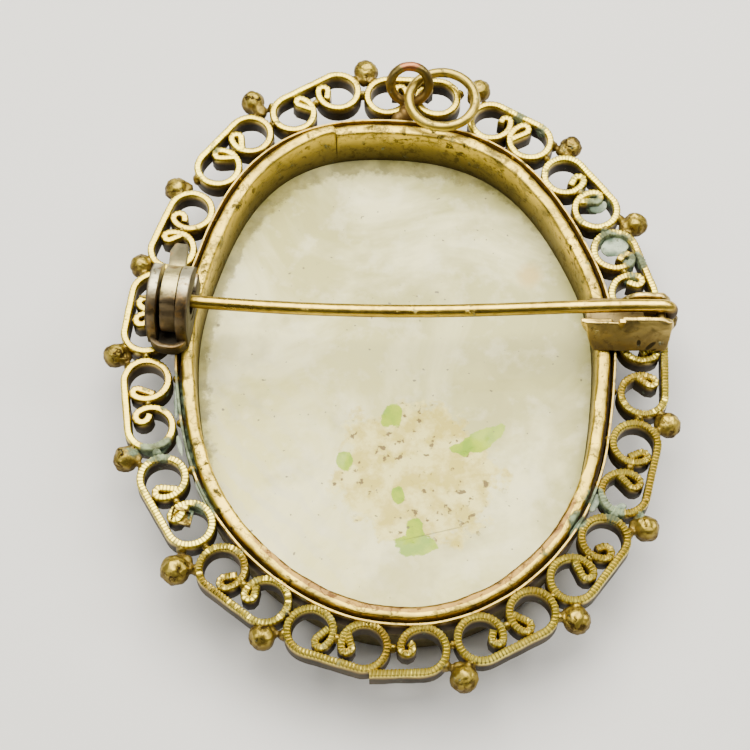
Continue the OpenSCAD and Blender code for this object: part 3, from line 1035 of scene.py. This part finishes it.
for vert in bracket.data.vertices:
    x, y, z = vert.co / mm - middle
    if y > far + 0.45:
        continue
    t = between(z, top, backEdge)
    k = 1 - sqrt(1 - t * t)
    for end, start, shift, reach in hingeSheet["corners"]:
        x += (start + shift * k) * max(0.0, 1 - abs(x - end) / reach)
    y -= hingeSheet["bulge"] * sin(pi * between(x, left, right)) * sin(pi * t)
    vert.co = toRow((x, y, z))
roughen(bracket, 1.3, 0.11)


def nickelFinish(name, pale):
    # tarnished grey-brown, with painted light making it pale on top and towards the far side
    f = Finish(name)
    cloud = f.noise(300, 4.0)
    fine = f.noise(1700, 4.0)
    blotch = f.noise(780, 3.0, 0.6)
    # painted light: paler higher up and towards the far side
    yonder = f.ramp(f.y + (blotch - 0.5) * (0.7 * mm), (middle.y + 1.7) * mm, (middle.y + 2.9) * mm)
    lift = f.ramp(f.z, (backEdge + 0.8) * mm, (backEdge + 3.4) * mm)
    light = (yonder * (0.3 + lift)).clamp()
    f.colour = f.tones(cloud, 0.35, 0.65, (0.085, 0.058, 0.028), (0.20, 0.15, 0.08))
    f.paint(light, f.tones(cloud, 0.35, 0.65, pale, [c * 0.72 for c in pale]))
    tip = f.ramp(f.y, (middle.y + 4.9) * mm, (middle.y + 5.6) * mm)
    f.paint((tip * (0.7 + 0.4 * cloud)).clamp(), f.tones(blotch, 0.4, 0.6, (0.03, 0.026, 0.012), (0.13, 0.115, 0.06)))
    f.paint(f.ramp(blotch, 0.54, 0.62) * 0.75, (0.27, 0.155, 0.045))
    f.paint(f.ramp(fine, 0.6, 0.68) * 0.7, (0.06, 0.045, 0.02))
    # painted shade: dark inside the bore and round the sleeve, on the cheeks' outer sides and low on the foot
    turned = radians(catch["yaw"])
    axle = (cos(turned), sin(turned), 0)
    aside = f.vector("SUBTRACT", f.spot, toRow((*catch["at"], pinZ)))[0]
    along = f.vector("DOT_PRODUCT", aside, axle)[1]
    radius = f.vector("LENGTH", f.vector("CROSS_PRODUCT", aside, axle)[0])[1]
    f.paint(f.ramp(radius, 2.0 * mm, 1.6 * mm) * 0.95, (0.018, 0.013, 0.007))
    ends = f.either([
        f.ramp(along, 1.42 * mm, 1.5 * mm), f.ramp(along, -1.36 * mm, -1.5 * mm),
        f.ramp(f.z, (backEdge + 1) * mm, (backEdge + 0.5) * mm),
    ])
    f.paint((ends * (0.85 + 0.3 * cloud)).clamp(), (0.05, 0.036, 0.016))
    f.link("Metallic", (0.9 - ends * 0.8 - tip * 0.6).clamp())
    return f.finished(0.26 + 0.25 * cloud + ends * 0.3 + tip * 0.3, [
        (blotch, 0.35, 0.12), (fine, 0.5, 0.07), (f.noise(6000, 2.0), 0.3, 0.03),
    ])


dress(housing, nickelFinish("tarnished nickel", (0.66, 0.61, 0.40)), "brooch", "catch_housing")
dress(rotor, nickelFinish("drum nickel", (0.72, 0.62, 0.28)), "rotor", "catch_rotor")
hingeGilt = giltFinish("hinge gilt", {
    "hue": (0.84, 0.62, 0.17), "hollow": (5.0, 8.72), "darkening": 0.9, "dark": (0.06, 0.042, 0.016),
    "brown": (0.205, 0.145, 0.06), "veins": 0.3, "veinScale": 300, "rough": 0.24, "green": noGreen,
    "marks": (
        ((18.1, 0.3, 6.9), 0.17, (1.1, 1, 9), 0), ((19.0, 0.2, 6.9), 0.15, (3.2, 0.8, 9), -24),
        ((19.2, 0.0, 6.7), 0.1, (3.4, 0.6, 9), -12),
    ),
})
edgeAt = Vector((0, far, top))
burr = block(*(Vector(corner) + edgeAt for corner in hingeSheet["burr"]), "burr")
editAll(burr)
moved(burr, lambda w: w.co.x < 16.5 * mm and w.co.z > (top - 0.3) * mm, (0.3, 0, 0))
moved(burr, lambda w: w.co.x > 16.8 * mm and w.co.z < (top - 0.3) * mm, (-0.22, -0.25, 0))
leaveEdit()
burr.data.transform(Matrix.Translation(middle * mm))
bracket = joined([bracket, burr], "hinge_plate")
dress(bracket, hingeGilt, "brooch", "hinge_bracket", 60)
dress(eased("hinge_rivet", "hinge_pin"), hingeGilt, "brooch", "hinge_rivet")
print("hinge", len(bracket.data.polygons))

shellMarks = {
    # each stain: place and reach in mm, stretch, turn
    "lime": (
        ((-3.73, -7.35), 0.95, (0.9, 1.1), 0), ((-0.22, -3.57), 1.05, (1, 1.2), 20),
        ((6.39, -5.63), 1.7, (1.5, 0.62), -30), ((4.9, -6.3), 0.8, (1.2, 0.7), 0),
        ((0.22, -10.19), 0.9, (0.7, 1.1), 0), ((1.46, -13.1), 1.2, (0.72, 1.2), 0),
        ((1.46, -14.2), 1.75, (1.15, 0.62), 0),
    ),
    "peach": ((10.64, 8.83), 1.5, (1, 1.1), 0),
    "specks": (
        ((-13.70, 4.16), 0.17), ((0.95, -12.76), 0.15), ((-9.3, -17.2), 0.14),
        ((0.4, -12.0), 0.12), ((-7.2, 9.4), 0.1),
    ),
    "worn": ((1.6, -8.4), 8.4, (0.94, 0.86), 20),
    "scratch": ((2.9, -13.2), 1.9, (1.6, 0.03), -14),
}


def shellFinish():
    f = Finish("shell")

    def spot(place, reach, stretch=(1, 1), spin=0.0, soft=0.5):
        return f.near((*place, 2.6), reach, soft, (*stretch, 9), spin)

    cloud = f.noise(72, 5.0, 0.6, warp=0.8)
    soft = f.noise(190, 4.0)
    fine = f.noise(1300, 4.0, 0.6)
    f.colour = f.tones(f.y, -0.016, 0.019, (0.86, 0.80, 0.30), (0.43, 0.40, 0.085))
    f.paint(f.ramp(f.x, -0.014, 0.014) * 0.55, (0.43, 0.43, 0.18))
    f.paint(f.ramp(cloud, 0.46, 0.60) * 0.8, (0.92, 0.88, 0.47))
    f.paint(f.ramp(soft, 0.50, 0.64) * 0.48, (0.42, 0.39, 0.12))
    f.paint(f.ramp(f.noise(420, 4.0, 0.6), 0.52, 0.66) * 0.35, (0.92, 0.89, 0.58))
    silk = f.node("ShaderNodeTexWave", {"bands_direction": "DIAGONAL"}, {
        "Vector": f.spot, "Scale": 260.0, "Distortion": 5.0, "Detail": 3.0, "Detail Scale": 1.6,
    })[1]
    left = f.ramp(f.x, 0.002, -0.013) * f.ramp(f.y, 0.004, -0.012)
    f.paint(f.ramp(silk, 0.5, 0.9) * left * 0.35, (0.62, 0.60, 0.50))
    ragged = f.noise(480, 6.0, 0.65) - 0.5
    place, reach, stretch, spin = shellMarks["worn"]
    worn = f.ramp(spot(place, reach, stretch, spin, 0.45) + ragged * 2.0, 0.42, 0.60)
    mottle = f.noise(700, 4.0, 0.6)
    f.paint(worn * 0.82, f.tones(mottle, 0.42, 0.6, (0.62, 0.50, 0.07), (0.90, 0.81, 0.28)))
    flecks = f.ramp(f.noise(1500, 3.0, 0.5), 0.635, 0.67) * worn
    f.paint(flecks * 0.9, (0.14, 0.09, 0.03))
    jagged = f.noise(1300, 4.0, 0.6) - 0.5
    lime = f.either([spot(*row) for row in shellMarks["lime"]])
    lime = f.ramp(lime + ragged * 0.6 + jagged * 1.6, 0.36, 0.52)
    f.paint(lime, f.tones(mottle, 0.4, 0.62, (0.235, 0.395, 0.0), (0.40, 0.53, 0.0)))
    place, reach, stretch, spin = shellMarks["peach"]
    peach = f.ramp(spot(place, reach, stretch, spin, 0.9) + ragged * 0.9, 0.2, 0.8)
    f.paint(peach * 0.7, (0.66, 0.46, 0.09))
    specks = f.either([spot(p, r) for p, r in shellMarks["specks"]])
    specks = f.either([specks, f.ramp(f.noise(2300, 2.0, 0.4), 0.735, 0.76)])
    place, reach, stretch, spin = shellMarks["scratch"]
    scratch = spot(place, reach, stretch, spin, 0.6)
    f.paint(f.either([specks * 0.85, scratch * 0.55]), (0.15, 0.13, 0.07))
    front = f.ramp(f.z, 0.0016, 0.0009)
    carved = f.ramp(f.z, 0.00046, 0.0003)
    f.paint(front, f.mix(carved, (0.36, 0.27, 0.18), (0.66, 0.62, 0.52)))
    # darker and olive along the rim, most towards the top left
    corner = f.ramp(f.y - f.x * 0.8, -0.004, 0.016)
    darkening = f.ramp(f.attribute("rim") * (0.36 + 0.85 * corner) + ragged * 0.9 + jagged * 0.9, 0.48, 0.72)
    f.paint(darkening * 0.7, f.tones(mottle, 0.4, 0.6, (0.13, 0.115, 0.03), (0.34, 0.30, 0.10)))
    f.link("Coat Weight", (0.16 - worn * 0.14).clamp())
    return f.finished(0.38 + 0.22 * soft + worn * 0.22 + darkening * 0.3, [
        (cloud, 0.25, 0.35), (soft, 0.18, 0.12), (fine * (0.15 + worn), 0.5, 0.06),
        (flecks + specks + scratch, 0.5, -0.08), (darkening * fine, 0.6, 0.12),
    ])


# Shell: a thin plate, slightly hollow behind, with a spray of flowers carved on its front
shell = {
    "gap": 1.05,  # from the outside of the bezel
    "profile": (
        (0.02, 2.47), (0.25, 2.47), (0.5, 2.49), (0.7, 2.52), (0.84, 2.55), (0.91, 2.565), (0.96, 2.575),
        (0.985, 2.575), (1.0, 2.53), (1.0, 1.6), (1.0, 0.62), (0.985, 0.535), (0.9, 0.53), (0.7, 0.51),
        (0.4, 0.48), (0.02, 0.47),
    ),
    "flowers": (  # place, radius, petals, turn
        ((0, 2.5), 6.2, 6, 15), ((-4.6, -7.8), 3.6, 5, 40), ((5.2, -6.6), 3.4, 5, 5),
    ),
    "rings": ((1.0, 0.44, 0.6), (0.62, 0.36, 1.0)),  # a flower's petals: reach, height, tilt
    "seed": (0.07, 0.1, 0.36),  # a flower's seeds: size and distance in its radii, height in mm
    "leaves": (  # place, turn, length, width
        ((3.6, 6.8), 58, 6.6, 2.8), ((-3.8, 6.6), 125, 6.4, 2.8), ((-5.6, 1.4), 172, 5.0, 2.4),
        ((5.8, 1.8), 8, 5.0, 2.4), ((0.4, -9.0), 268, 7.0, 2.8), ((4.0, -10.0), 305, 5.6, 2.4),
        ((-4.4, -11.2), 240, 4.6, 2.2), ((0, 9.2), 92, 6.6, 2.6),
    ),
}


def shellShape(angle, k, height):
    edge = offOval(angle, -shell["gap"])
    return edge.x * k, edge.y * k, height


plate = ovalRing("carved_shell", shell["profile"], 160, shellShape, closed=False)
rim = plate.data.attributes.new("rim", "FLOAT", "POINT")
for mark, vert in zip(rim.data, plate.data.vertices):
    at = vert.co / mm - middle
    edge = offOval(degrees(atan2(at.y, at.x)), -shell["gap"])
    mark.value = max(0.0, (Vector((at.x, at.y)).length / edge.length - 0.87) / 0.13) if at.z > 1 else 0.0


def carvedBlade(length, width, thick, veined):
    # a petal or leaf lying along X from the origin, its face down, creased along the middle
    deselect()
    bpy.ops.mesh.primitive_uv_sphere_add(
        segments=24, ring_count=14, radius=0.5 * mm, location=(length / 2 * mm, 0, 0), rotation=(0, pi / 2, 0),
        scale=(2 * thick, width, length),
    )
    o = fresh("blade")
    long, broad, deep = length * mm, width * mm, thick * mm
    editAll(o)
    moved(o, lambda w: w.co.z < -0.3 * deep and abs(w.co.y) < 0.12 * broad, (0, 0, 0.34 * thick))
    if veined:
        squeezed(o, lambda w: w.co.x > 0.8 * long, (1.12, 0.55, 1), (0.8 * long, 0, 0))
        for k in range(1, 6, 2):
            moved(o, lambda w: w.co.z < -0.2 * deep and abs(w.co.x / long - k * 0.155) < 0.07, (0, 0, 0.16 * thick))
    else:
        squeezed(o, lambda w: w.co.x < 0.3 * long, (1, 0.7, 1), (0.3 * long, 0, 0))
        moved(o, lambda w: w.co.x > 0.9 * long and abs(w.co.y) < 0.2 * broad, (-0.07 * length, 0, 0))
    leaveEdit()
    return o


def laid(o, at, turned, tilt, height):
    o.data.transform(Matrix.Translation(toRow((*at, height))) @ spun(turned, "Z") @ spun(tilt, "Y"))
    return o


parts = [plate]
for at, turned, length, width in shell["leaves"]:
    parts.append(laid(carvedBlade(length, width, 0.24, True), at, turned, 0.5, 0.46))
for at, radius, count, turned in shell["flowers"]:
    for ring, (reach, height, tilt) in enumerate(shell["rings"]):
        petals = count - ring
        master = carvedBlade(radius * reach, radius * reach * 2.5 / petals, 0.2, False)
        for k in range(petals):
            parts.append(laid(copied(master), at, turned + 360 * k / petals + 30 * ring, tilt, height))
        discard(master)
    small, apart, height = shell["seed"]
    size = radius * small
    for k in range(7):
        out = spun(60 * k, "Z") @ Vector((radius * apart * (k > 0), 0, height))
        parts.append(blob(Vector(at).to_3d() + out, (size, size, min(size, 0.22))))
carved = joined(parts, "carved_shell")
dress(carved, shellFinish(), "brooch", "cameo_plaque")
print("shell", len(carved.data.polygons))

# Table and light
deselect()
bpy.ops.mesh.primitive_plane_add(size=1.2, location=(0, 0, -0.00005))
floor = bpy.context.object
floor.name = "table"
stone = Finish("table")
stone.link("Base Color", (0.74, 0.74, 0.73, 1.0))
stone.link("Roughness", 0.8)
floor.data.materials.append(stone.material)

lights = (
    ((-0.01, 0.115, 0.31), 0.36, 3.9, (1.0, 0.95, 0.84)),
    ((0.24, 0.04, 0.24), 0.12, 0.5, (1.0, 0.98, 0.95)),
    ((-0.24, -0.10, 0.20), 0.14, 0.2, (0.95, 0.97, 1.0)),
)
for at, size, power, colour in lights:
    bpy.ops.object.light_add(type="AREA", location=at)
    lamp = bpy.context.object
    lamp.data.size = size
    lamp.data.energy = power
    lamp.data.color = colour
    lamp.rotation_euler = (-Vector(at)).to_track_quat("-Z", "Y").to_euler()
world = bpy.data.worlds.new("studio")
bpy.context.scene.world = world
world.use_nodes = True
air = world.node_tree.nodes["Background"].inputs
air["Color"].default_value = (0.75, 0.77, 0.8, 1.0)
air["Strength"].default_value = 0.07
